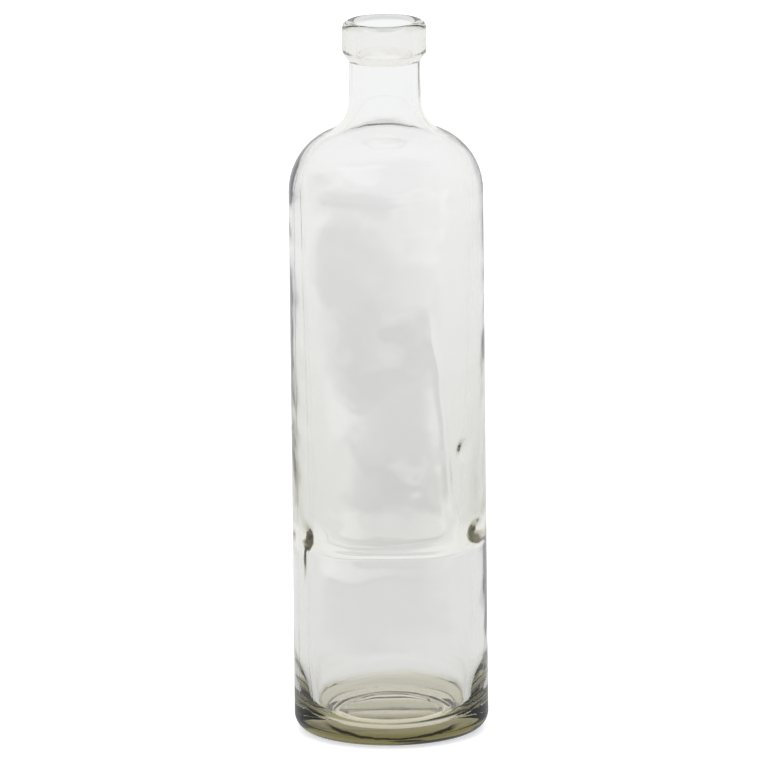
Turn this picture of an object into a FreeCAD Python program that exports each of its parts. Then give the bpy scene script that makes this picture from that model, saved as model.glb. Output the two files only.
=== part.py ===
"""A thick-walled clear glass oil bottle of about one litre: one piece of blown glass, open at the mouth.

All lengths are millimetres. The bottle stands on z = 0 with its axis on +Z. Its outside is one
revolved profile, from the punt under the base to the banded lip, and its inside is a second one,
from the heavy floor past the settle wave in the wall to the mouth.
"""

import FreeCAD, Part

import math
import os

import Sketcher

OUT_FOLDER = "parts"
NODE = "bottle_glass"

# Driving dimensions, one row for each cell of the sheet.
SIZES = {
    "bottle_height": 312.0,
    "body_diameter": 84.0,
    "heel_radius": 7.3,
    "punt_depth": 3.0,
    "punt_diameter": 60.0,
    "punt_bevel": 4.5,
    "shoulder_drop": 74.4,
    "shoulder_radius": 27.8,
    "neck_root_radius": 14.9,
    "neck_diameter": 30.8,
    "neck_taper_deg": 0.9,
    "lip_diameter": 36.4,
    "lip_band_height": 14.0,
    "lip_bevel_height": 3.3,
    "lip_edge_radius": 2.8,
    "lip_underside_radius": 0.8,
    "bore_diameter": 24.4,
    "mouth_bevel_width": 1.8,
    "mouth_bevel_depth": 2.2,
    "floor_height": 10.0,
    "floor_corner_radius": 8.0,
    "lower_wall": 6.0,
    "upper_wall": 4.4,
    "wave_wall": 8.0,
    "wave_height": 92.0,
    "wave_crest_radius": 16.0,
    "wave_step_radius": 12.0,
    "inner_shoulder_radius": 23.4,
    "inner_neck_root_radius": 18.4,
}

FULL_TURN = 360.0
MATCH_TOLERANCE = 1e-3


def make_sheet(doc):
    """The spreadsheet that holds the driving dimensions, each cell with its alias."""
    sheet = doc.addObject("Spreadsheet::Sheet", "Sizes")
    for row, (alias, value) in enumerate(SIZES.items(), start=1):
        sheet.set(f"A{row}", alias)
        sheet.set(f"B{row}", str(value))
        sheet.setAlias(f"B{row}", alias)
    doc.recompute()
    return sheet


def origin_plane(body, role):
    """One of the body's own origin planes, such as XZ_Plane."""
    return next(f for f in body.Origin.OriginFeatures if f.Role == role)


def new_sketch(body, name):
    """A sketch on the body's XZ plane: its horizontal is the radius and its vertical is the height."""
    sketch = body.newObject("Sketcher::SketchObject", name)
    sketch.AttachmentSupport = [(origin_plane(body, "XZ_Plane"), "")]
    sketch.MapMode = "FlatFace"
    return sketch


def point(radius, height):
    return FreeCAD.Vector(radius, height, 0)


def polar(centre, radius, angle):
    return centre + point(radius * math.cos(angle), radius * math.sin(angle))


class Outline:
    """A closed outline drawn piece by piece. Each piece starts where the last one ended."""

    def __init__(self, sketch):
        self.sketch = sketch
        self.ends = {}

    def line(self, start, end):
        index = self.sketch.addGeometry(Part.LineSegment(start, end))
        self.ends[index] = (1, 2)
        return index

    def arc(self, centre, radius, begin, end):
        """An arc from angle begin to angle end. A sketch stores every arc anticlockwise."""
        circle = Part.Circle(centre, FreeCAD.Vector(0, 0, 1), radius)
        index = self.sketch.addGeometry(Part.ArcOfCircle(circle, min(begin, end), max(begin, end)))
        self.ends[index] = (1, 2) if end > begin else (2, 1)
        return index

    def start_of(self, index):
        return index, self.ends[index][0]

    def end_of(self, index):
        return index, self.ends[index][1]

    def join(self, before, after, kind="Coincident"):
        self.rule(kind, *self.end_of(before), *self.start_of(after))

    def rule(self, *terms):
        self.sketch.addConstraint(Sketcher.Constraint(*terms))

    def size(self, name, expression, value, *terms):
        """A dimension that follows the sheet through an expression."""
        index = self.sketch.addConstraint(Sketcher.Constraint(*terms, value))
        self.sketch.renameConstraint(index, name)
        self.sketch.setExpression(f"Constraints.{name}", expression)

    def radius_from_axis(self, name, expression, value, index, position):
        self.size(name, expression, value, "DistanceX", -1, 1, index, position)

    def height_from_floor(self, name, expression, value, index, position):
        self.size(name, expression, value, "DistanceY", -1, 1, index, position)

    def on_axis(self, index, position):
        self.rule("PointOnObject", index, position, -2)


CENTRE = 3


def draw_outside(sketch, s):
    """The outside: punt, foot ring, heel, straight body, round shoulder, neck and banded lip."""
    body_r = s.body_diameter / 2
    neck_r = s.neck_diameter / 2
    lip_r = s.lip_diameter / 2
    punt_r = s.punt_diameter / 2
    band_foot = s.bottle_height - s.lip_band_height
    neck_top = band_foot - s.lip_bevel_height
    taper = math.radians(s.neck_taper_deg)
    shoulder_height = s.bottle_height - s.shoulder_drop

    heel_centre = point(body_r - s.heel_radius, s.heel_radius)
    shoulder_centre = point(body_r - s.shoulder_radius, shoulder_height)

    # The neck root touches the tapered neck line and the shoulder arc.
    down = point(math.sin(taper), -math.cos(taper))
    out = point(math.cos(taper), math.sin(taper))
    offset = point(neck_r, neck_top) + out * s.neck_root_radius - shoulder_centre
    reach = s.shoulder_radius + s.neck_root_radius
    along = offset.dot(down)
    travel = -along - math.sqrt(along**2 - offset.dot(offset) + reach**2)
    root_centre = shoulder_centre + offset + down * travel
    to_root = root_centre - shoulder_centre
    shoulder_end = math.atan2(to_root.y, to_root.x)

    lip_centre = point(lip_r - s.lip_edge_radius, s.bottle_height - s.lip_edge_radius)

    o = Outline(sketch)
    punt = o.line(point(0, s.punt_depth), point(punt_r - s.punt_bevel, s.punt_depth))
    slope = o.line(point(punt_r - s.punt_bevel, s.punt_depth), point(punt_r, 0))
    foot = o.line(point(punt_r, 0), point(heel_centre.x, 0))
    heel = o.arc(heel_centre, s.heel_radius, -math.pi / 2, 0)
    side = o.line(point(body_r, s.heel_radius), point(body_r, shoulder_height))
    shoulder = o.arc(shoulder_centre, s.shoulder_radius, 0, shoulder_end)
    root = o.arc(root_centre, s.neck_root_radius, shoulder_end + math.pi, math.pi + taper)
    neck = o.line(polar(root_centre, s.neck_root_radius, math.pi + taper), point(neck_r, neck_top))
    bevel = o.line(point(neck_r, neck_top), point(lip_r, band_foot))
    band = o.line(point(lip_r, band_foot), point(lip_r, lip_centre.y))
    edge = o.arc(lip_centre, s.lip_edge_radius, 0, math.pi / 2)
    top = o.line(point(lip_centre.x, s.bottle_height), point(0, s.bottle_height))
    axis = o.line(point(0, s.bottle_height), point(0, s.punt_depth))

    sharp = [(axis, punt), (punt, slope), (slope, foot), (neck, bevel), (bevel, band), (top, axis)]
    for before, after in sharp:
        o.join(before, after)
    smooth = [(foot, heel), (heel, side), (side, shoulder), (shoulder, root), (root, neck)]
    for before, after in smooth + [(band, edge), (edge, top)]:
        o.join(before, after, "Tangent")

    o.on_axis(*o.start_of(axis))
    o.on_axis(*o.end_of(axis))
    o.rule("PointOnObject", *o.start_of(foot), -1)
    o.rule("PointOnObject", *o.end_of(foot), -1)
    for upright in (side, band):
        o.rule("Vertical", upright)
    for level in (punt, top):
        o.rule("Horizontal", level)

    o.height_from_floor("punt_depth", "Sizes.punt_depth", s.punt_depth, *o.end_of(axis))
    o.radius_from_axis("punt_edge", "Sizes.punt_diameter / 2", punt_r, *o.start_of(foot))
    o.size("punt_bevel", "Sizes.punt_bevel", s.punt_bevel, "DistanceX", *o.start_of(slope), *o.end_of(slope))
    o.size("heel_radius", "Sizes.heel_radius", s.heel_radius, "Radius", heel)
    o.radius_from_axis("body_side", "Sizes.body_diameter / 2", body_r, *o.start_of(side))
    shoulder_rule = "Sizes.bottle_height - Sizes.shoulder_drop"
    o.height_from_floor("shoulder_height", shoulder_rule, shoulder_height, *o.end_of(side))
    o.size("shoulder_radius", "Sizes.shoulder_radius", s.shoulder_radius, "Radius", shoulder)
    o.size("neck_root_radius", "Sizes.neck_root_radius", s.neck_root_radius, "Radius", root)
    o.size("neck_angle", "90 + Sizes.neck_taper_deg", math.pi / 2 + taper, "Angle", neck)
    o.radius_from_axis("neck_side", "Sizes.neck_diameter / 2", neck_r, *o.end_of(neck))
    neck_top_rule = "Sizes.bottle_height - Sizes.lip_band_height - Sizes.lip_bevel_height"
    o.height_from_floor("neck_top", neck_top_rule, neck_top, *o.end_of(neck))
    o.radius_from_axis("lip_side", "Sizes.lip_diameter / 2", lip_r, *o.start_of(band))
    band_rule = "Sizes.bottle_height - Sizes.lip_band_height"
    o.height_from_floor("band_foot", band_rule, band_foot, *o.start_of(band))
    o.size("lip_edge_radius", "Sizes.lip_edge_radius", s.lip_edge_radius, "Radius", edge)
    o.height_from_floor("bottle_height", "Sizes.bottle_height", s.bottle_height, *o.start_of(axis))


def draw_inside(sketch, s):
    """The inside: flat floor, lower wall, settle wave, tapering upper wall, shoulder, bore and mouth."""
    body_r = s.body_diameter / 2
    bore_r = s.bore_diameter / 2
    lower_r = body_r - s.lower_wall
    upper_r = body_r - s.upper_wall
    crest_r = body_r - s.wave_wall
    mouth_top = s.bottle_height
    shoulder_height = s.bottle_height - s.shoulder_drop
    bevel_foot = mouth_top - s.mouth_bevel_depth

    corner_centre = point(lower_r - s.floor_corner_radius, s.floor_height + s.floor_corner_radius)
    crest_centre = point(crest_r + s.wave_crest_radius, s.wave_height)

    # Below its crest the wave steps out to the lower wall over one arc.
    step_x = lower_r - s.wave_step_radius
    step_reach = s.wave_step_radius + s.wave_crest_radius
    step_centre = point(step_x, s.wave_height - math.sqrt(step_reach**2 - (crest_centre.x - step_x) ** 2))
    to_crest = crest_centre - step_centre
    step_end = math.atan2(to_crest.y, to_crest.x)

    # Above it the wall thins along one line that touches the crest and the shoulder.
    shoulder_r = s.inner_shoulder_radius
    shoulder_centre = point(upper_r - shoulder_r, shoulder_height)
    rise = shoulder_centre - crest_centre
    lean = math.atan2(rise.y, rise.x) - math.asin((shoulder_r + s.wave_crest_radius) / rise.Length)
    across = lean - math.pi / 2

    # The neck root touches the shoulder and the straight bore.
    root_r = s.inner_neck_root_radius
    root_x = bore_r + root_r
    root_rise = math.sqrt((shoulder_r + root_r) ** 2 - (root_x - shoulder_centre.x) ** 2)
    root_centre = point(root_x, shoulder_height + root_rise)
    shoulder_end = math.atan2(root_rise, root_x - shoulder_centre.x)

    o = Outline(sketch)
    floor = o.line(point(0, s.floor_height), point(corner_centre.x, s.floor_height))
    corner = o.arc(corner_centre, s.floor_corner_radius, -math.pi / 2, 0)
    lower = o.line(point(lower_r, corner_centre.y), point(lower_r, step_centre.y))
    step = o.arc(step_centre, s.wave_step_radius, 0, step_end)
    crest = o.arc(crest_centre, s.wave_crest_radius, step_end + math.pi, across + math.pi)
    upper_start = polar(crest_centre, s.wave_crest_radius, across + math.pi)
    upper = o.line(upper_start, polar(shoulder_centre, shoulder_r, across))
    shoulder = o.arc(shoulder_centre, shoulder_r, across, shoulder_end)
    root = o.arc(root_centre, root_r, shoulder_end + math.pi, math.pi)
    bore = o.line(point(bore_r, root_centre.y), point(bore_r, bevel_foot))
    mouth = o.line(point(bore_r, bevel_foot), point(bore_r + s.mouth_bevel_width, mouth_top))
    top = o.line(point(bore_r + s.mouth_bevel_width, mouth_top), point(0, mouth_top))
    axis = o.line(point(0, mouth_top), point(0, s.floor_height))

    for before, after in [(bore, mouth), (mouth, top), (top, axis), (axis, floor)]:
        o.join(before, after)
    chain = [floor, corner, lower, step, crest, upper, shoulder, root, bore]
    for before, after in zip(chain, chain[1:]):
        o.join(before, after, "Tangent")

    o.on_axis(*o.start_of(axis))
    o.on_axis(*o.end_of(axis))
    for level in (floor, top):
        o.rule("Horizontal", level)
    for upright in (lower, bore):
        o.rule("Vertical", upright)

    o.height_from_floor("floor_height", "Sizes.floor_height", s.floor_height, *o.end_of(axis))
    o.size("floor_corner", "Sizes.floor_corner_radius", s.floor_corner_radius, "Radius", corner)
    lower_rule = "Sizes.body_diameter / 2 - Sizes.lower_wall"
    o.radius_from_axis("lower_side", lower_rule, lower_r, *o.start_of(lower))
    o.size("wave_step", "Sizes.wave_step_radius", s.wave_step_radius, "Radius", step)
    o.size("wave_crest", "Sizes.wave_crest_radius", s.wave_crest_radius, "Radius", crest)
    crest_rule = "Sizes.body_diameter / 2 - Sizes.wave_wall + Sizes.wave_crest_radius"
    o.radius_from_axis("wave_side", crest_rule, crest_centre.x, crest, CENTRE)
    o.height_from_floor("wave_height", "Sizes.wave_height", s.wave_height, crest, CENTRE)
    o.size("inner_shoulder", "Sizes.inner_shoulder_radius", shoulder_r, "Radius", shoulder)
    upper_rule = "Sizes.body_diameter / 2 - Sizes.upper_wall - Sizes.inner_shoulder_radius"
    o.radius_from_axis("upper_side", upper_rule, shoulder_centre.x, shoulder, CENTRE)
    shoulder_rule = "Sizes.bottle_height - Sizes.shoulder_drop"
    o.height_from_floor("inner_shoulder_height", shoulder_rule, shoulder_height, shoulder, CENTRE)
    o.size("inner_neck_root", "Sizes.inner_neck_root_radius", root_r, "Radius", root)
    o.radius_from_axis("bore_side", "Sizes.bore_diameter / 2", bore_r, *o.start_of(bore))
    bevel_ends = (*o.start_of(mouth), *o.end_of(mouth))
    o.size("mouth_bevel_width", "Sizes.mouth_bevel_width", s.mouth_bevel_width, "DistanceX", *bevel_ends)
    o.size("mouth_bevel_depth", "Sizes.mouth_bevel_depth", s.mouth_bevel_depth, "DistanceY", *bevel_ends)
    o.height_from_floor("mouth_top", "Sizes.bottle_height", mouth_top, *o.start_of(axis))


def ring_edge(shape, radius, height):
    """The name of the round edge of that radius about the axis, at that height."""
    for number, edge in enumerate(shape.Edges, start=1):
        if edge.Degenerated:
            continue
        curve = edge.Curve
        if not isinstance(curve, Part.Circle):
            continue
        if abs(curve.Radius - radius) < MATCH_TOLERANCE and abs(curve.Center.z - height) < MATCH_TOLERANCE:
            return f"Edge{number}"
    raise RuntimeError(f"no round edge of radius {radius} at height {height}")


def make_bottle(doc, s):
    """The whole bottle: its outside turned solid, then its inside turned out of that."""
    body = doc.addObject("PartDesign::Body", "Bottle")
    body.Label = NODE

    outside = new_sketch(body, "OutsideProfile")
    draw_outside(outside, s)
    turned = body.newObject("PartDesign::Revolution", "Outside")
    turned.Profile = outside
    turned.ReferenceAxis = (outside, ["V_Axis"])
    turned.Angle = FULL_TURN
    doc.recompute()
    full_volume = turned.Shape.Volume

    inside = new_sketch(body, "InsideProfile")
    draw_inside(inside, s)
    hollow = body.newObject("PartDesign::Groove", "Inside")
    hollow.Profile = inside
    hollow.ReferenceAxis = (inside, ["V_Axis"])
    hollow.Angle = FULL_TURN
    doc.recompute()
    print(f"brimful capacity {(full_volume - hollow.Shape.Volume) / 1000:.0f} ml")

    # The bevel under the lip is fire-polished where it meets the neck and the band.
    band_foot = s.bottle_height - s.lip_band_height
    neck_top = band_foot - s.lip_bevel_height
    corners = [
        ring_edge(hollow.Shape, s.neck_diameter / 2, neck_top),
        ring_edge(hollow.Shape, s.lip_diameter / 2, band_foot),
    ]
    softened = body.newObject("PartDesign::Fillet", "LipUnderside")
    softened.Base = (hollow, corners)
    softened.Radius = s.lip_underside_radius
    softened.setExpression("Radius", "Sizes.lip_underside_radius")
    doc.recompute()
    body.Tip = softened
    return body


def check(doc, bodies):
    """Stops if an object failed to compute, or if a piece isn't one sound solid."""
    for item in doc.Objects:
        if "Invalid" in item.State or "Error" in item.State:
            raise RuntimeError(f"{item.Name} failed: {item.State}")
    for body in bodies:
        shape = body.Shape
        if shape.isNull() or not shape.isValid() or len(shape.Solids) != 1:
            raise RuntimeError(f"{body.Label} isn't one sound solid")


def main():
    doc = FreeCAD.newDocument("glass_oil_bottle")
    sheet = make_sheet(doc)
    bodies = [make_bottle(doc, sheet)]
    doc.recompute()
    check(doc, bodies)
    os.makedirs(OUT_FOLDER, exist_ok=True)
    for body in bodies:
        body.Shape.exportStep(os.path.join(OUT_FOLDER, f"{body.Label}.step"))
        print(f"{body.Label}: {body.Shape.Volume / 1000:.1f} cm3 of glass")


main()
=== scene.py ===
"""The looks of a clear glass oil bottle, on a white floor in soft studio light.

The scene is in metres. The bottle's own sizes are named in millimetres, and MM turns them into metres.
"""

import math

import bmesh
import bpy
from mathutils import Matrix, Vector, noise


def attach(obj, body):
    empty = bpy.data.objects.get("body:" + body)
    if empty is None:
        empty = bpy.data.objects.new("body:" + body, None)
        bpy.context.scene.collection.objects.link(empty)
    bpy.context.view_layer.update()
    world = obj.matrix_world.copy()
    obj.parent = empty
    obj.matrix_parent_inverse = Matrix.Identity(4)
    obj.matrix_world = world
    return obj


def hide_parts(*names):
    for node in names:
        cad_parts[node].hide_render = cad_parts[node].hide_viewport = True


MM = 0.001
NODE = "bottle_glass"

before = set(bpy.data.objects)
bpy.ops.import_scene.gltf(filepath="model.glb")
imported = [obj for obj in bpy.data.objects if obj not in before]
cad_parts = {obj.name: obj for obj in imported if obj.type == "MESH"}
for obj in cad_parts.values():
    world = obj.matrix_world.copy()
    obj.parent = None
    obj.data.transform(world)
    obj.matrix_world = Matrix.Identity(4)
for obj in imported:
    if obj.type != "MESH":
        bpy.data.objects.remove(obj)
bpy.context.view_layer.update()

# The bottle's sizes in millimetres: the solid's, apart from the lip's edges and a higher inner shoulder.
HEIGHT = 312.0
BODY_R = 42.0
HEEL_R = 7.3
PUNT_DEPTH, PUNT_R, PUNT_BEVEL = 3.0, 30.0, 4.5
SHOULDER_Z, SHOULDER_R = 237.6, 27.8
ROOT_R, NECK_R, NECK_TAPER = 14.9, 15.4, math.radians(0.9)
LIP_R, BAND_Z, NECK_TOP_Z, LIP_EDGE_R = 18.2, 298.0, 294.7, 3.3
BORE_R, MOUTH_EDGE_R = 12.2, 2.4
FLOOR_Z, FLOOR_CORNER_R = 10.0, 8.0
LOWER_R, UPPER_R, CREST_R = 36.0, 37.6, 34.0
WAVE_Z, CREST_ARC_R, STEP_ARC_R = 92.0, 16.0, 12.0
INNER_SHOULDER_R, INNER_SHOULDER_Z, INNER_ROOT_R = 23.4, 239.5, 18.4

# How finely the glass is cut: faces around it, and the steps along its profile in millimetres or radians.
SEGMENTS = 216
ROW_STEP, BODY_STEP, FLOOR_STEP = 1.2, 8.0, 1.0
PUNT_STEP, PUNT_EDGE_STEP, PUNT_EDGE_LEAD = 0.6, 0.5, 3.0
LIP_UNDER_STEP, LIP_TOP_STEP = 0.8, 0.6
ARC_STEP = math.radians(7)
FINE_ARC_STEP = ARC_STEP / 2

# Ripples of the glass, in millimetres: (depth, size of lumps, seed). A seed shifts the noise by NOISE_SHIFT.
WIDE_RIPPLE = (0.30, 30.0, 1.0)
FINE_RIPPLE = (0.10, 12.0, 5.0)
FLUTE_RIPPLE = (0.10, 4.0, 9.0)
CREASE_RIPPLE = (1.2, 8.0, 6.0)
PUNT_RIPPLE = (0.04, 8.0, 4.0)
PUNT_EDGE_RIPPLE = (1.0, 9.0, 3.0)
BEAD_RIPPLE = (0.5, 3.5, 8.0)
LIP_RIPPLE = (0.12, 3.0, 7.0)
NOISE_SHIFT = (1.0, 2.7, -1.3)

# How the blown inside departs from a turned one, in millimetres. Spans are heights: begin, full, fade, end.
WALL_SPAN = (14.0, 40.0, 225.0, 262.0)
FLUTE_SPAN = (250.0, 266.0, 292.0, 304.0)
LOPSIDE, LOPSIDE_RADIANS = 0.18, 2.9
OVAL, OVAL_RADIANS = 0.20, 1.0
OVAL_TWIST_PER_MM, OVAL_BEAT_PER_MM = 0.012, 0.03
FLOOR_TILT = math.tan(math.radians(6.0))
FLOOR_TILT_TOP = 40.0
BACK_RISE = 3.0
BACK_DIP = 16.0
BACK_DIP_SPAN = (36.0, 76.0, 104.0, 150.0)
FRONT_FILL = 0.7
FRONT_FILL_SPAN = (78.0, WAVE_Z, WAVE_Z, 190.0)
FLARE_DEPTH, FLARE_TURN, FLARE_SHARPNESS = 1.7, math.radians(10.0), 8
FLARE_FOOT, FLARE_TOP = 14.0, 36.0
FLARE_INNER_R, FLARE_OUTER_R = 20.0, 34.0
FLOOR_RING_R, FLOOR_RING_WIDTH, FLOOR_RING_RISE = 31.0, 1.3, 0.4

# Where a form begins and is full, from the front of the bottle (-1) to its back (1).
FRONT_FILL_SIDE = (0.2, -1.0)
BACK_DIP_SIDE = (0.1, 0.95)
FLOOR_RING_SIDE = (-0.4, 0.2)
BEAD_SIDE = (-0.7, 0.1)

# Lumps and drops of glass on the inner wall: angles in degrees from the right, lengths in millimetres.
RIGHT_BULGE = {"angle": -8.0, "width": 30.0, "depth": 1.0, "top": 190.0, "crest": 96.0, "foot": 86.0}
GLASS_SEED = {"angle": -34.0, "width": 6.0, "depth": 0.5, "top": 134.0, "crest": 127.5, "foot": 121.0}
DIMPLE = {"angle": -72.0, "width": 6.0, "depth": -0.22, "top": 121.0, "crest": 114.5, "foot": 108.0}
RIGHT_DROP = {"angle": -16.0, "width": 15.0, "depth": 1.15, "centre": 90.0, "up": 4.5, "down": 6.0}
LEFT_DROP = {"angle": -161.0, "width": 13.0, "depth": 1.3, "centre": 87.5, "up": 8.0, "down": 8.0}
LEFT_TAIL = {"angle": -161.0, "width": 5.5, "depth": 0.45, "centre": 78.0, "up": 6.0, "down": 14.0}

# A groove in the front of the inner wall, to the right: (height, angle) along it.
GROOVE = (
    (88.0, -30.5),
    (95.0, -40.0),
    (112.0, -47.5),
    (135.0, -50.5),
    (160.0, -54.5),
    (182.0, -61.5),
    (200.0, -65.0),
)
GROOVE_WIDTH, GROOVE_DEPTH, GROOVE_FADE = 2.8, 0.36, 30.0

# The pressed outside: the punt's soft edge and bead, and the uneven seat of the lip, in millimetres.
PUNT_EDGE_INSET, PUNT_EDGE_WIDTH, PUNT_RIPPLE_FADE = 1.2, 6.0, 6.5
BEAD_R, BEAD_WIDTH, BEAD_DEPTH, BEAD_SHARE = 21.5, 1.2, 0.3, 0.7
LIP_SEAT_FOOT, LIP_SEAT_TOP = NECK_TOP_Z - 1.0, BAND_Z + 1.5
LIP_SEAT_INSET, LIP_SEAT_SQUASH = 0.12, 2.0

# The glass and its tints, in metres. A pair is where a change begins and ends.
GLASS_IOR = 1.52
HAZE_COLOUR, HAZE_DENSITY = (0.62, 0.60, 0.46, 1.0), 26.0
CLEAR = (0.99, 0.99, 0.99, 1.0)
BASE_TINT = (0.98, 0.92, 0.74, 1.0)
BASE_HEIGHT = (0.004, 0.015)
# The heel's tint is olive glass darkened with painted shade, and its streaks are painted dark streaks of
# shade.
HEEL_OLIVE_AND_SHADE = (0.24, 0.22, 0.066, 1.0)
HEEL_PAINTED_SHADE = (0.003, 0.0025, 0.0005, 1.0)
HEEL_RADIUS = (0.033, 0.038)
HEEL_BACK, HEEL_BACK_Y = 0.5, (-0.01, 0.03)
STREAK_SCALE, STREAK_DETAIL, STREAK_EDGE = (22.0, 22.0, 260.0), 2.0, (0.50, 0.58)

# A painted dark line of shade around the front of the heel, in metres.
PAINTED_HEEL_LINE = {
    "height": 0.0042,
    "middle": 0.001,
    "bend": 5.0,
    "wobble": 0.0025,
    "wobble_scale": 120.0,
    "wobble_detail": 2.0,
    "narrow": 0.0005,
    "wide": 0.0011,
    "wide_from": 0.022,
    "softness": 0.7,
    "fade": 0.025,
    "end": 0.031,
    "front": (-0.02, -0.01),
}

# The marks of the mould and of wear, in metres. Heights are shares of the bump's own.
SEAM_ANGLE, SEAM_HALF, SEAM_HEIGHT = math.radians(19.0), 0.0005, 0.3
SEAM_RADIUS = (0.0395, 0.0405)
KNURLS, KNURL_HEIGHT = 170.0, 0.2
KNURL_TOP, KNURL_RADIUS = (0.001, 0.004), (0.034, 0.036)
SCUFF_SCALE, SCUFF_DETAIL, SCUFF_EDGE, SCUFF_ROUGHNESS = 900.0, 3.0, (0.55, 0.75), 0.12
SWIRL_SCALE, SWIRL_DETAIL = 60.0, 1.0
BUMP_STRENGTH, BUMP_DISTANCE = 0.12, 0.001

# The floor, in metres, and how bright the glass sees it: through itself, and mirrored, with painted shadow
# near the bottle and a painted darker reflection in front.
FLOOR_SIZE, FLOOR_GAP = 60.0, 0.0003
PAPER = (0.78, 0.79, 0.81, 1.0)
COOL_WHITE = (0.965, 0.975, 1.0, 1.0)
CAMERA_GLOW = 0.55
THROUGH_REACH, THROUGH_LEVEL = (0.06, 1.3), (0.89, 1.03)
MIRROR_DEPTH, MIRROR_LEVEL = (-0.3, 0.1), (0.8, 0.95)
MIRROR_REACH, MIRROR_NEAR = (0.06, 0.2), (0.45, 1.0)
CLOUD = {"Scale": 10.0, "Detail": 5.0, "Roughness": 0.6}
PATCH_DRIFT, PATCH_EDGE = 0.13, (0.1, 2.0)

# Shade and light on the floor that only the glass sees: (x, y, half width, half depth, change), in metres.
PATCHES = (
    (0.0, 0.98, 0.055, 0.08, -0.06),
    (-0.12, 0.80, 0.10, 0.07, -0.07),
    (-0.04, 0.77, 0.10, 0.12, -0.11),
    (0.004, 0.52, 0.06, 0.20, -0.16),
    (0.02, 0.40, 0.05, 0.08, -0.06),
    (-0.016, 0.246, 0.052, 0.075, -0.09),
    (-0.04, 0.985, 0.03, 0.03, 0.07),
    (0.01, 0.717, 0.03, 0.03, 0.09),
    (0.03, 0.463, 0.02, 0.025, 0.12),
    (-0.08, 0.55, 0.05, 0.05, 0.06),
    (0.05, 0.86, 0.05, 0.03, 0.06),
    (0.0, 0.33, 0.10, 0.028, 0.13),
)

# The room's light, the camera, whose aim is in millimetres, and the limits of the light's path.
SKY_WHITE = (1.0, 1.0, 1.0, 1.0)
SKY_RISE, SKY_LEVEL = (0.4, 0.95), (1.0, 0.86)
SKY_THROUGH_GLASS = 0.98
CAMERA_DISTANCE, CAMERA_ELEVATION, CAMERA_ROLL = 7.44, math.radians(12.58), math.radians(0.63)
CAMERA_AIM_X, CAMERA_AIM_Z, CAMERA_DROP = -1.73, 155.0, 2.94
SENSOR_WIDTH, LENS, CLIP_END = 36.0, 808.0, 100.0
BOUNCES, VOLUME_BOUNCES = 64, 2


def arc_points(centre, radius, begin, end, step=ARC_STEP):
    """Points along an arc, from angle begin to angle end, without its first one."""
    count = max(2, math.ceil(abs(end - begin) / step))
    angles = [begin + (end - begin) * i / count for i in range(1, count + 1)]
    return [(centre[0] + radius * math.cos(a), centre[1] + radius * math.sin(a)) for a in angles]


def line_points(start, end, step=ROW_STEP):
    """Points along a line, without its first one."""
    count = max(1, math.ceil(math.dist(start, end) / step))
    return [
        (start[0] + (end[0] - start[0]) * i / count, start[1] + (end[1] - start[1]) * i / count)
        for i in range(1, count + 1)
    ]


def outside_profile():
    """(radius, height) from the middle of the punt out and up to the mouth's edge."""
    heel = (BODY_R - HEEL_R, HEEL_R)
    shoulder = (BODY_R - SHOULDER_R, SHOULDER_Z)
    lip = (LIP_R - LIP_EDGE_R, HEIGHT - LIP_EDGE_R)

    # The root's arc slides down the neck's line until it touches the shoulder's arc.
    down = (math.sin(NECK_TAPER), -math.cos(NECK_TAPER))
    out = (math.cos(NECK_TAPER), math.sin(NECK_TAPER))
    off = (NECK_R + out[0] * ROOT_R - shoulder[0], NECK_TOP_Z + out[1] * ROOT_R - shoulder[1])
    along = off[0] * down[0] + off[1] * down[1]
    travel = -along - math.sqrt(along**2 - off[0] ** 2 - off[1] ** 2 + (SHOULDER_R + ROOT_R) ** 2)
    root = (shoulder[0] + off[0] + down[0] * travel, shoulder[1] + off[1] + down[1] * travel)
    turn = math.atan2(root[1] - shoulder[1], root[0] - shoulder[0])

    path = [(0.0, PUNT_DEPTH)]
    path += line_points(path[-1], (PUNT_R - PUNT_BEVEL - PUNT_EDGE_LEAD, PUNT_DEPTH), PUNT_STEP)
    path += line_points(path[-1], (PUNT_R, 0.0), PUNT_EDGE_STEP)
    path += line_points(path[-1], (heel[0], 0.0))
    path += arc_points(heel, HEEL_R, -math.pi / 2, 0.0)
    path += line_points(path[-1], (BODY_R, SHOULDER_Z), BODY_STEP)
    path += arc_points(shoulder, SHOULDER_R, 0.0, turn)
    path += arc_points(root, ROOT_R, turn + math.pi, math.pi + NECK_TAPER)
    path += line_points(path[-1], (NECK_R, NECK_TOP_Z))
    path += line_points(path[-1], (LIP_R, BAND_Z), LIP_UNDER_STEP)
    path += line_points(path[-1], (LIP_R, lip[1]))
    path += arc_points(lip, LIP_EDGE_R, 0.0, math.pi / 2)
    path += line_points(path[-1], (BORE_R + MOUTH_EDGE_R, HEIGHT), LIP_TOP_STEP)
    return path


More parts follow.
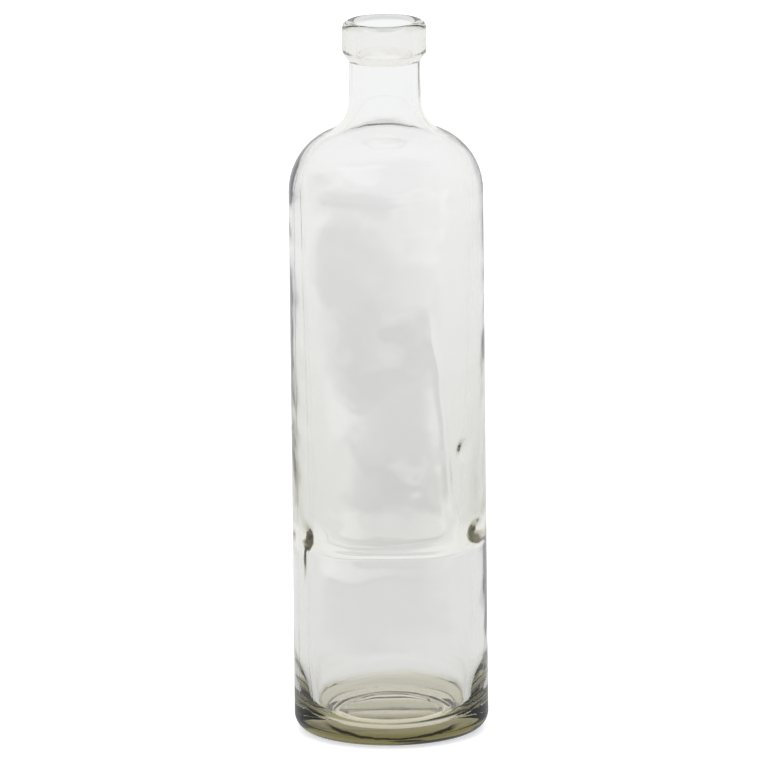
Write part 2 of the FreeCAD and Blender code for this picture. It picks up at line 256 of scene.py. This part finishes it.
def inside_profile():
    """(radius, height) from the mouth's edge down to the middle of the floor."""
    mouth = (BORE_R + MOUTH_EDGE_R, HEIGHT - MOUTH_EDGE_R)
    shoulder = (UPPER_R - INNER_SHOULDER_R, INNER_SHOULDER_Z)
    corner = (LOWER_R - FLOOR_CORNER_R, FLOOR_Z + FLOOR_CORNER_R)

    # The root's arc touches the bore and the shoulder's arc.
    root_x = BORE_R + INNER_ROOT_R
    rise = math.sqrt((INNER_SHOULDER_R + INNER_ROOT_R) ** 2 - (root_x - shoulder[0]) ** 2)
    root = (root_x, INNER_SHOULDER_Z + rise)
    turn = math.atan2(rise, root_x - shoulder[0])

    # The step's arc touches the lower wall and the crest's arc.
    crest = (CREST_R + CREST_ARC_R, WAVE_Z)
    step_x = LOWER_R - STEP_ARC_R
    step = (step_x, WAVE_Z - math.sqrt((STEP_ARC_R + CREST_ARC_R) ** 2 - (crest[0] - step_x) ** 2))
    step_end = math.atan2(crest[1] - step[1], crest[0] - step[0])

    # The upper wall is the line that touches the shoulder's arc and the crest's.
    span = (shoulder[0] - crest[0], shoulder[1] - crest[1])
    lean = math.atan2(span[1], span[0]) - math.asin((INNER_SHOULDER_R + CREST_ARC_R) / math.hypot(*span))
    across = lean - math.pi / 2
    crest_begin = across + math.pi
    crest_top = (
        crest[0] + CREST_ARC_R * math.cos(crest_begin),
        crest[1] + CREST_ARC_R * math.sin(crest_begin),
    )

    path = arc_points(mouth, MOUTH_EDGE_R, math.pi / 2, math.pi)
    path += line_points(path[-1], (BORE_R, root[1]))
    path += arc_points(root, INNER_ROOT_R, math.pi, turn + math.pi)
    path += arc_points(shoulder, INNER_SHOULDER_R, turn, across)
    path += line_points(path[-1], crest_top)
    path += arc_points(crest, CREST_ARC_R, crest_begin, step_end + math.pi, FINE_ARC_STEP)
    path += arc_points(step, STEP_ARC_R, step_end, 0.0, FINE_ARC_STEP)
    path += line_points(path[-1], (LOWER_R, corner[1]))
    path += arc_points(corner, FLOOR_CORNER_R, 0.0, -math.pi / 2)
    path += line_points(path[-1], (0.0, FLOOR_Z), FLOOR_STEP)
    return path


def lathe(bm, path, shape):
    """A closed skin turned from path, whose ends are on the axis. shape(row, angle, r, z) moves a point."""
    rings = []
    for row, (r, z) in enumerate(path):
        if row in (0, len(path) - 1):
            rings.append([bm.verts.new((0.0, 0.0, z * MM))])
            continue
        ring = []
        for i in range(SEGMENTS):
            angle = math.tau * i / SEGMENTS
            rr, zz = shape(row, angle, r, z)
            ring.append(bm.verts.new((rr * math.cos(angle) * MM, rr * math.sin(angle) * MM, zz * MM)))
        rings.append(ring)
    for low, high in zip(rings, rings[1:]):
        for i in range(SEGMENTS):
            j = (i + 1) % SEGMENTS
            a, b = low[i % len(low)], low[j % len(low)]
            c, d = high[j % len(high)], high[i % len(high)]
            if len(low) == 1:
                bm.faces.new((a, c, d))
            elif len(high) == 1:
                bm.faces.new((a, b, c))
            else:
                bm.faces.new((a, b, c, d))


def ease(value, begin, end):
    """0 at begin, 1 at end, smooth between and flat beyond."""
    f = min(1.0, max(0.0, (value - begin) / (end - begin)))
    return f * f * (3.0 - 2.0 * f)


def window(value, begin, full, fade, end):
    """0 outside begin and end, 1 from full to fade, and smooth between."""
    return ease(value, begin, full) * (1.0 - ease(value, fade, end))


def degrees_from(angle, middle):
    """How many degrees an angle in radians lies from a middle in degrees, from -180 to 180."""
    return (math.degrees(angle) - middle + 180.0) % 360.0 - 180.0


def lump(spot, angle, z):
    """The depth of a lump at a point. It swells gently down to its crest and ends fast at its foot."""
    around = math.exp(-((degrees_from(angle, spot["angle"]) / spot["width"]) ** 2))
    return spot["depth"] * around * window(z, spot["foot"], spot["crest"], spot["crest"], spot["top"])


def drop(spot, angle, z):
    """The depth of a drop of glass at a point. It is deepest in the middle and ends at a crisp edge."""
    turn = degrees_from(angle, spot["angle"])
    rise = z - spot["centre"]
    rise /= spot["up"] if rise > 0.0 else spot["down"]
    return spot["depth"] * max(0.0, 1.0 - math.hypot(turn / spot["width"], rise))


def groove(angle, z):
    """The depth of the groove at a point of the inner wall."""
    foot, top = GROOVE[0][0], GROOVE[-1][0]
    if not foot < z < top:
        return 0.0
    middle = GROOVE[0][1]
    for (low, first), (high, second) in zip(GROOVE, GROOVE[1:]):
        if low <= z <= high:
            middle = first + (second - first) * ease(z, low, high)
    fade = window(z, foot, foot + GROOVE_FADE, top - GROOVE_FADE, top)
    return GROOVE_DEPTH * (fade * math.exp(-((degrees_from(angle, middle) / GROOVE_WIDTH) ** 2)))


def ripple(angle, r, z, kind):
    """Smooth noise on the glass, in millimetres either way."""
    depth, size, seed = kind
    spot = Vector((r * math.cos(angle), r * math.sin(angle), z)) / size
    return depth * noise.noise(spot + Vector([shift * seed for shift in NOISE_SHIFT]))


def uneven_wall(angle, r, z):
    """How much thicker the blown wall is at a point, apart from its lumps."""
    sway = LOPSIDE * math.cos(angle - LOPSIDE_RADIANS)
    oval = OVAL * math.cos(2 * angle + OVAL_TWIST_PER_MM * z)
    sway += oval * math.cos(OVAL_BEAT_PER_MM * z + OVAL_RADIANS)
    sway += ripple(angle, r, z, WIDE_RIPPLE) + ripple(angle, r, z, FINE_RIPPLE)
    right = max(0.0, math.cos(angle + FLARE_TURN)) ** FLARE_SHARPNESS
    left = max(0.0, -math.cos(angle - FLARE_TURN)) ** FLARE_SHARPNESS
    flare = FLARE_DEPTH * (right + left) * (1.0 - ease(z, FLARE_FOOT, FLARE_TOP))
    flare *= ease(r, FLARE_INNER_R, FLARE_OUTER_R)
    flutes = window(z, *FLUTE_SPAN) * ripple(angle, BORE_R, 0.0, FLUTE_RIPPLE)
    return window(z, *WALL_SPAN) * sway + flare + flutes


def blown_inside(angle, r, z):
    """Where a point of the turned inside lies on the blown one, with its uneven wall and tilted floor."""
    back = math.sin(angle)
    lumps = sum(lump(spot, angle, z) for spot in (RIGHT_BULGE, GLASS_SEED, DIMPLE))
    lumps += sum(drop(spot, angle, z) for spot in (RIGHT_DROP, LEFT_DROP, LEFT_TAIL))
    r -= uneven_wall(angle, r, z) + lumps - groove(angle, z)
    r += ease(back, *FRONT_FILL_SIDE) * FRONT_FILL * window(z, *FRONT_FILL_SPAN)
    if z < FLOOR_Z + FLOOR_CORNER_R:
        crease = (r - FLOOR_RING_R + ripple(angle, r, 0.0, CREASE_RIPPLE)) / FLOOR_RING_WIDTH
        z += FLOOR_RING_RISE * math.exp(-(crease**2)) * ease(back, *FLOOR_RING_SIDE)
    z -= BACK_DIP * ease(back, *BACK_DIP_SIDE) * window(z, *BACK_DIP_SPAN)
    tilt = 1.0 - ease(z, FLOOR_Z, FLOOR_TILT_TOP)
    z += tilt * FLOOR_TILT * r * back
    z += tilt * BACK_RISE * ease(r * back, 0.0, LOWER_R)
    return r, z


def pressed_outside(angle, r, z):
    """Where a point of the turned outside lies: the punt and the lip's seat are uneven, the rest is true."""
    if r < PUNT_R and 0.0 < z <= PUNT_DEPTH:
        edge = PUNT_R - PUNT_EDGE_INSET + ripple(angle, r, 0.0, PUNT_EDGE_RIPPLE)
        z = PUNT_DEPTH * (1.0 - ease(r, edge - PUNT_EDGE_WIDTH, edge))
        bead = BEAD_DEPTH * math.exp(-(((r - BEAD_R) / BEAD_WIDTH) ** 2))
        bead *= BEAD_SHARE + ripple(angle, r, 0.0, BEAD_RIPPLE)
        z -= bead * ease(math.sin(angle), *BEAD_SIDE)
        z += ripple(angle, r, 0.0, PUNT_RIPPLE) * (1.0 - ease(r, edge - PUNT_RIPPLE_FADE, edge))
        z = max(0.0, z)
    if LIP_SEAT_FOOT < z < LIP_SEAT_TOP:
        r -= LIP_SEAT_INSET + ripple(angle, r, LIP_SEAT_SQUASH * z, LIP_RIPPLE)
    return r, z


def make_bottle(material):
    """The whole bottle, as one closed skin in place of the solid."""
    outside = outside_profile()
    path = outside + inside_profile()

    def shape(row, angle, r, z):
        if row < len(outside):
            return pressed_outside(angle, r, z)
        return blown_inside(angle, r, z)

    bm = bmesh.new()
    lathe(bm, path, shape)
    bmesh.ops.recalc_face_normals(bm, faces=bm.faces)
    mesh = bpy.data.meshes.new("glass_skin")
    bm.to_mesh(mesh)
    bm.free()
    mesh.shade_smooth()
    mesh.materials.append(material)
    bottle = bpy.data.objects.new("glass_skin", mesh)
    bpy.context.scene.collection.objects.link(bottle)
    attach(bottle, "root")
    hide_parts(NODE)


def node(tree, kind, inputs=None, **settings):
    """A new node, with its sockets set to plain values or linked to other nodes' outputs."""
    made = tree.nodes.new("ShaderNode" + kind)
    for key, value in settings.items():
        setattr(made, key, value)
    for key, value in (inputs or {}).items():
        if isinstance(value, bpy.types.NodeSocket):
            tree.links.new(value, made.inputs[key])
        else:
            made.inputs[key].default_value = value
    return made


def smooth_range(tree, value, low, high, begin, end):
    """value from low to high, taken smoothly to begin and end."""
    inputs = {"Value": value, "From Min": low, "From Max": high, "To Min": begin, "To Max": end}
    return node(tree, "MapRange", inputs, interpolation_type="SMOOTHSTEP").outputs["Result"]


def math_node(tree, operation, first, second=0.0):
    """The result of a sum with one or two numbers."""
    return node(tree, "Math", {0: first, 1: second}, operation=operation).outputs["Value"]


def product(tree, first, *others):
    """All the numbers multiplied."""
    for other in others:
        first = math_node(tree, "MULTIPLY", first, other)
    return first


def vector_node(tree, operation, first, second):
    """The result of a sum with two vectors."""
    return node(tree, "VectorMath", {0: first, 1: second}, operation=operation).outputs["Vector"]


def length_node(tree, vector):
    """How long a vector is."""
    return node(tree, "VectorMath", {0: vector}, operation="LENGTH").outputs["Value"]


def noise_node(tree, place, scale, detail):
    """Soft noise from 0 to 1."""
    return node(tree, "TexNoise", {"Vector": place, "Scale": scale, "Detail": detail}).outputs["Fac"]


def mix_value(tree, factor, first, second):
    """A number between first and second."""
    return node(tree, "Mix", {"Factor": factor, "A": first, "B": second}).outputs["Result"]


def mix_colour(tree, factor, first, second):
    """A colour between first and second, which are the node's sockets 6 and 7 for colours."""
    return node(tree, "Mix", {"Factor": factor, 6: first, 7: second}, data_type="RGBA").outputs[2]


def new_material(name):
    """An empty material and its nodes."""
    material = bpy.data.materials.new(name)
    material.use_nodes = True
    material.node_tree.nodes.clear()
    return material, material.node_tree


def painted_heel_line(tree, place, axes):
    """Where a painted dark line of shade runs around the front of the heel, low in the middle and higher at
    its ends.
    """
    fade, end = PAINTED_HEEL_LINE["fade"], PAINTED_HEEL_LINE["end"]
    off = math_node(tree, "SUBTRACT", axes["X"], PAINTED_HEEL_LINE["middle"])
    rise = product(tree, off, off, PAINTED_HEEL_LINE["bend"])
    wobble = noise_node(tree, place, PAINTED_HEEL_LINE["wobble_scale"], PAINTED_HEEL_LINE["wobble_detail"])
    wobble = product(tree, math_node(tree, "SUBTRACT", wobble, 0.5), PAINTED_HEEL_LINE["wobble"])
    height = math_node(tree, "ADD", math_node(tree, "ADD", rise, PAINTED_HEEL_LINE["height"]), wobble)
    gap = math_node(tree, "SUBTRACT", axes["Z"], height)
    aside = math_node(tree, "ABSOLUTE", off)
    half = smooth_range(tree, aside, 0.0, PAINTED_HEEL_LINE["wide_from"], PAINTED_HEEL_LINE["narrow"], PAINTED_HEEL_LINE["wide"])
    share = math_node(tree, "DIVIDE", product(tree, gap, gap), product(tree, half, half))
    line = smooth_range(tree, math_node(tree, "SUBTRACT", 1.0, share), 0.0, PAINTED_HEEL_LINE["softness"], 0.0, 1.0)
    left = smooth_range(tree, axes["X"], -end, -fade, 0.0, 1.0)
    right = smooth_range(tree, axes["X"], fade, end, 1.0, 0.0)
    front = smooth_range(tree, axes["Y"], *PAINTED_HEEL_LINE["front"], 1.0, 0.0)
    return product(tree, line, left, right, front)


def mould_marks(tree, axes, radius):
    """The height of two fine seams up the body's outside, and of a knurl under the heel."""
    turn = math_node(tree, "ARCTAN2", axes["Y"], axes["X"])
    across = math_node(tree, "SINE", math_node(tree, "SUBTRACT", turn, SEAM_ANGLE))
    across = math_node(tree, "ABSOLUTE", product(tree, across, radius))
    seam = smooth_range(tree, across, 0.0, SEAM_HALF, SEAM_HEIGHT, 0.0)
    seam = product(tree, seam, smooth_range(tree, radius, *SEAM_RADIUS, 0.0, 1.0))
    knurl = math_node(tree, "SINE", product(tree, turn, KNURLS))
    low = smooth_range(tree, axes["Z"], *KNURL_TOP, KNURL_HEIGHT, 0.0)
    knurl = product(tree, knurl, low, smooth_range(tree, radius, *KNURL_RADIUS, 0.0, 1.0))
    return math_node(tree, "ADD", seam, knurl)


def glass_tint(tree, place, axes, radius, low):
    """The glass's colour: clear walls, and a heel of olive glass darkened with painted shade, with painted
    dark streaks and a painted dark line around its front.
    """
    base = mix_colour(tree, low, CLEAR, BASE_TINT)
    drawn = vector_node(tree, "MULTIPLY", place, STREAK_SCALE)
    streak = smooth_range(tree, noise_node(tree, drawn, 1.0, STREAK_DETAIL), *STREAK_EDGE, 0.0, 1.0)
    # Olive glass darkened with painted shade, broken by painted dark streaks.
    olive = mix_colour(tree, streak, HEEL_OLIVE_AND_SHADE, HEEL_PAINTED_SHADE)
    outer = smooth_range(tree, radius, *HEEL_RADIUS, 0.0, 1.0)
    # The heel's tint and painted shade are stronger at its front than at its back.
    heel = product(tree, low, outer, smooth_range(tree, axes["Y"], *HEEL_BACK_Y, 1.0, HEEL_BACK))
    tint = mix_colour(tree, heel, base, olive)
    # A painted dark line of shade around the front of the heel.
    return mix_colour(tree, painted_heel_line(tree, place, axes), tint, HEEL_PAINTED_SHADE)


def glass_material():
    """Clear glass, nearly without colour in the walls and olive in the thick base, with painted shade in its
    heel.
    """
    material, tree = new_material("clear_glass")
    place = node(tree, "NewGeometry").outputs["Position"]
    axes = node(tree, "SeparateXYZ", {"Vector": place}).outputs
    flat = node(tree, "CombineXYZ", {"X": axes["X"], "Y": axes["Y"]}).outputs["Vector"]
    radius = length_node(tree, flat)
    low = smooth_range(tree, axes["Z"], *BASE_HEIGHT, 1.0, 0.0)
    tint = glass_tint(tree, place, axes, radius, low)
    scuff = noise_node(tree, place, SCUFF_SCALE, SCUFF_DETAIL)
    worn = product(tree, smooth_range(tree, scuff, *SCUFF_EDGE, 0.0, SCUFF_ROUGHNESS), low)
    swirl = noise_node(tree, place, SWIRL_SCALE, SWIRL_DETAIL)
    relief = math_node(tree, "ADD", swirl, mould_marks(tree, axes, radius))
    bump = {"Strength": BUMP_STRENGTH, "Distance": BUMP_DISTANCE, "Height": relief}
    skin = node(tree, "Bump", bump).outputs["Normal"]
    glass = node(
        tree,
        "BsdfPrincipled",
        {"Base Color": tint, "Transmission Weight": 1.0, "IOR": GLASS_IOR, "Roughness": worn, "Normal": skin},
    )
    haze = node(tree, "VolumeAbsorption", {"Color": HAZE_COLOUR, "Density": HAZE_DENSITY})
    node(tree, "OutputMaterial", {"Surface": glass.outputs["BSDF"], "Volume": haze.outputs["Volume"]})
    return material


def patch_level(tree, spot, patch):
    """How much a painted patch of light makes a place on the floor brighter, or a painted patch of shade
    makes it darker.
    """
    x, y, half_x, half_y, change = patch
    off = vector_node(tree, "SUBTRACT", spot, (x, y, 0.0))
    share = vector_node(tree, "MULTIPLY", off, (1.0 / half_x, 1.0 / half_y, 0.0))
    out = length_node(tree, vector_node(tree, "MULTIPLY", share, share))
    return smooth_range(tree, out, *PATCH_EDGE, 1.0 + change, 1.0)


def floor_material():
    """White paper. The glass shows it with a painted shadow nearby and painted patches of shade and light,
    and mirrors it with painted shade nearby and darker in front.
    """
    material, tree = new_material("studio_floor")
    place = node(tree, "NewGeometry").outputs["Position"]
    axes = node(tree, "SeparateXYZ", {"Vector": place}).outputs
    rays = node(tree, "LightPath").outputs
    away = length_node(tree, place)
    cloud = node(tree, "TexNoise", {"Vector": place, **CLOUD}).outputs["Color"]
    drift = vector_node(tree, "SUBTRACT", cloud, (0.5, 0.5, 0.5))
    drift = vector_node(tree, "MULTIPLY", drift, (PATCH_DRIFT, PATCH_DRIFT, PATCH_DRIFT))
    spot = vector_node(tree, "ADD", place, drift)
    # Painted shadow near the bottle and painted patches of shadow and light, seen only through the glass.
    through = smooth_range(tree, away, *THROUGH_REACH, *THROUGH_LEVEL)
    through = product(tree, through, *(patch_level(tree, spot, patch) for patch in PATCHES))
    # A painted darker reflection in front and painted shade near the bottle, seen only in the glass's
    # reflections.
    mirrored = smooth_range(tree, axes["Y"], *MIRROR_DEPTH, *MIRROR_LEVEL)
    mirrored = product(tree, mirrored, smooth_range(tree, away, *MIRROR_REACH, *MIRROR_NEAR))
    paint = node(tree, "BsdfDiffuse", {"Color": PAPER})
    camera_glow = product(tree, rays["Is Camera Ray"], CAMERA_GLOW)
    shine = node(tree, "Emission", {"Color": COOL_WHITE, "Strength": camera_glow})
    lit = node(tree, "AddShader", {0: paint.outputs["BSDF"], 1: shine.outputs["Emission"]})
    seen = mix_value(tree, rays["Is Transmission Ray"], mirrored, through)
    glow = node(tree, "Emission", {"Color": COOL_WHITE, "Strength": seen})
    by_glass = math_node(tree, "MAXIMUM", rays["Is Glossy Ray"], rays["Is Transmission Ray"])
    mixed = {"Fac": by_glass, 1: lit.outputs["Shader"], 2: glow.outputs["Emission"]}
    node(tree, "OutputMaterial", {"Surface": node(tree, "MixShader", mixed).outputs["Shader"]})
    return material


def add_floor():
    """A wide sheet of paper, a hair under the bottle's foot."""
    bpy.ops.mesh.primitive_plane_add(size=FLOOR_SIZE, location=(0.0, 0.0, -FLOOR_GAP))
    floor = bpy.context.object
    floor.name = "studio_floor"
    floor.data.materials.append(floor_material())


def add_world():
    """A pale room: white for the camera, nearly so through the glass, and darker overhead for the rest."""
    world = bpy.data.worlds.new("studio")
    bpy.context.scene.world = world
    world.use_nodes = True
    tree = world.node_tree
    tree.nodes.clear()
    way = node(tree, "TexCoord").outputs["Generated"]
    axes = node(tree, "SeparateXYZ", {"Vector": way}).outputs
    rays = node(tree, "LightPath").outputs
    level = smooth_range(tree, axes["Z"], *SKY_RISE, *SKY_LEVEL)
    level = mix_value(tree, rays["Is Transmission Ray"], level, SKY_THROUGH_GLASS)
    level = mix_value(tree, rays["Is Camera Ray"], level, 1.0)
    sky = node(tree, "Background", {"Color": SKY_WHITE, "Strength": level})
    node(tree, "OutputWorld", {"Surface": sky.outputs["Background"]})


def add_softbox(name, place, target, size, power):
    """A wide soft lamp that lights the scene, and that the glass neither mirrors nor shows."""
    lamp = bpy.data.lights.new(name, "AREA")
    lamp.shape = "RECTANGLE"
    lamp.size, lamp.size_y = size
    lamp.energy = power
    box = bpy.data.objects.new(name, lamp)
    box.location = place
    box.rotation_euler = (Vector(target) - Vector(place)).to_track_quat("-Z", "Y").to_euler()
    box.visible_glossy = False
    box.visible_transmission = False
    bpy.context.scene.collection.objects.link(box)


def add_camera():
    """A long lens, tilted down and rolled as the photograph's is."""
    back = Vector((0.0, -math.cos(CAMERA_ELEVATION), math.sin(CAMERA_ELEVATION)))
    up = Vector((0.0, math.sin(CAMERA_ELEVATION), math.cos(CAMERA_ELEVATION)))
    aim = Vector((CAMERA_AIM_X * MM, 0.0, CAMERA_AIM_Z * MM)) - up * CAMERA_DROP * MM
    lens = bpy.data.cameras.new("camera")
    lens.sensor_width = SENSOR_WIDTH
    lens.lens = LENS
    lens.clip_end = CLIP_END
    camera = bpy.data.objects.new("camera", lens)
    camera.location = aim + back * CAMERA_DISTANCE
    turn = (-back).to_track_quat("-Z", "Y").to_matrix().to_4x4()
    camera.rotation_euler = (turn @ Matrix.Rotation(-CAMERA_ROLL, 4, "Z")).to_euler()
    bpy.context.scene.collection.objects.link(camera)
    bpy.context.scene.camera = camera


def set_render():
    """Plain colours, and enough bounces for light that runs along inside the glass."""
    scene = bpy.context.scene
    scene.view_settings.view_transform = "Standard"
    scene.cycles.max_bounces = BOUNCES
    scene.cycles.transmission_bounces = BOUNCES
    scene.cycles.glossy_bounces = BOUNCES
    scene.cycles.volume_bounces = VOLUME_BOUNCES


make_bottle(glass_material())
add_floor()
add_world()
add_softbox(name="top_light", place=(0.0, 0.3, 2.2), target=(0.0, 0.0, 0.1), size=(2.0, 2.0), power=16.0)
add_camera()
set_render()
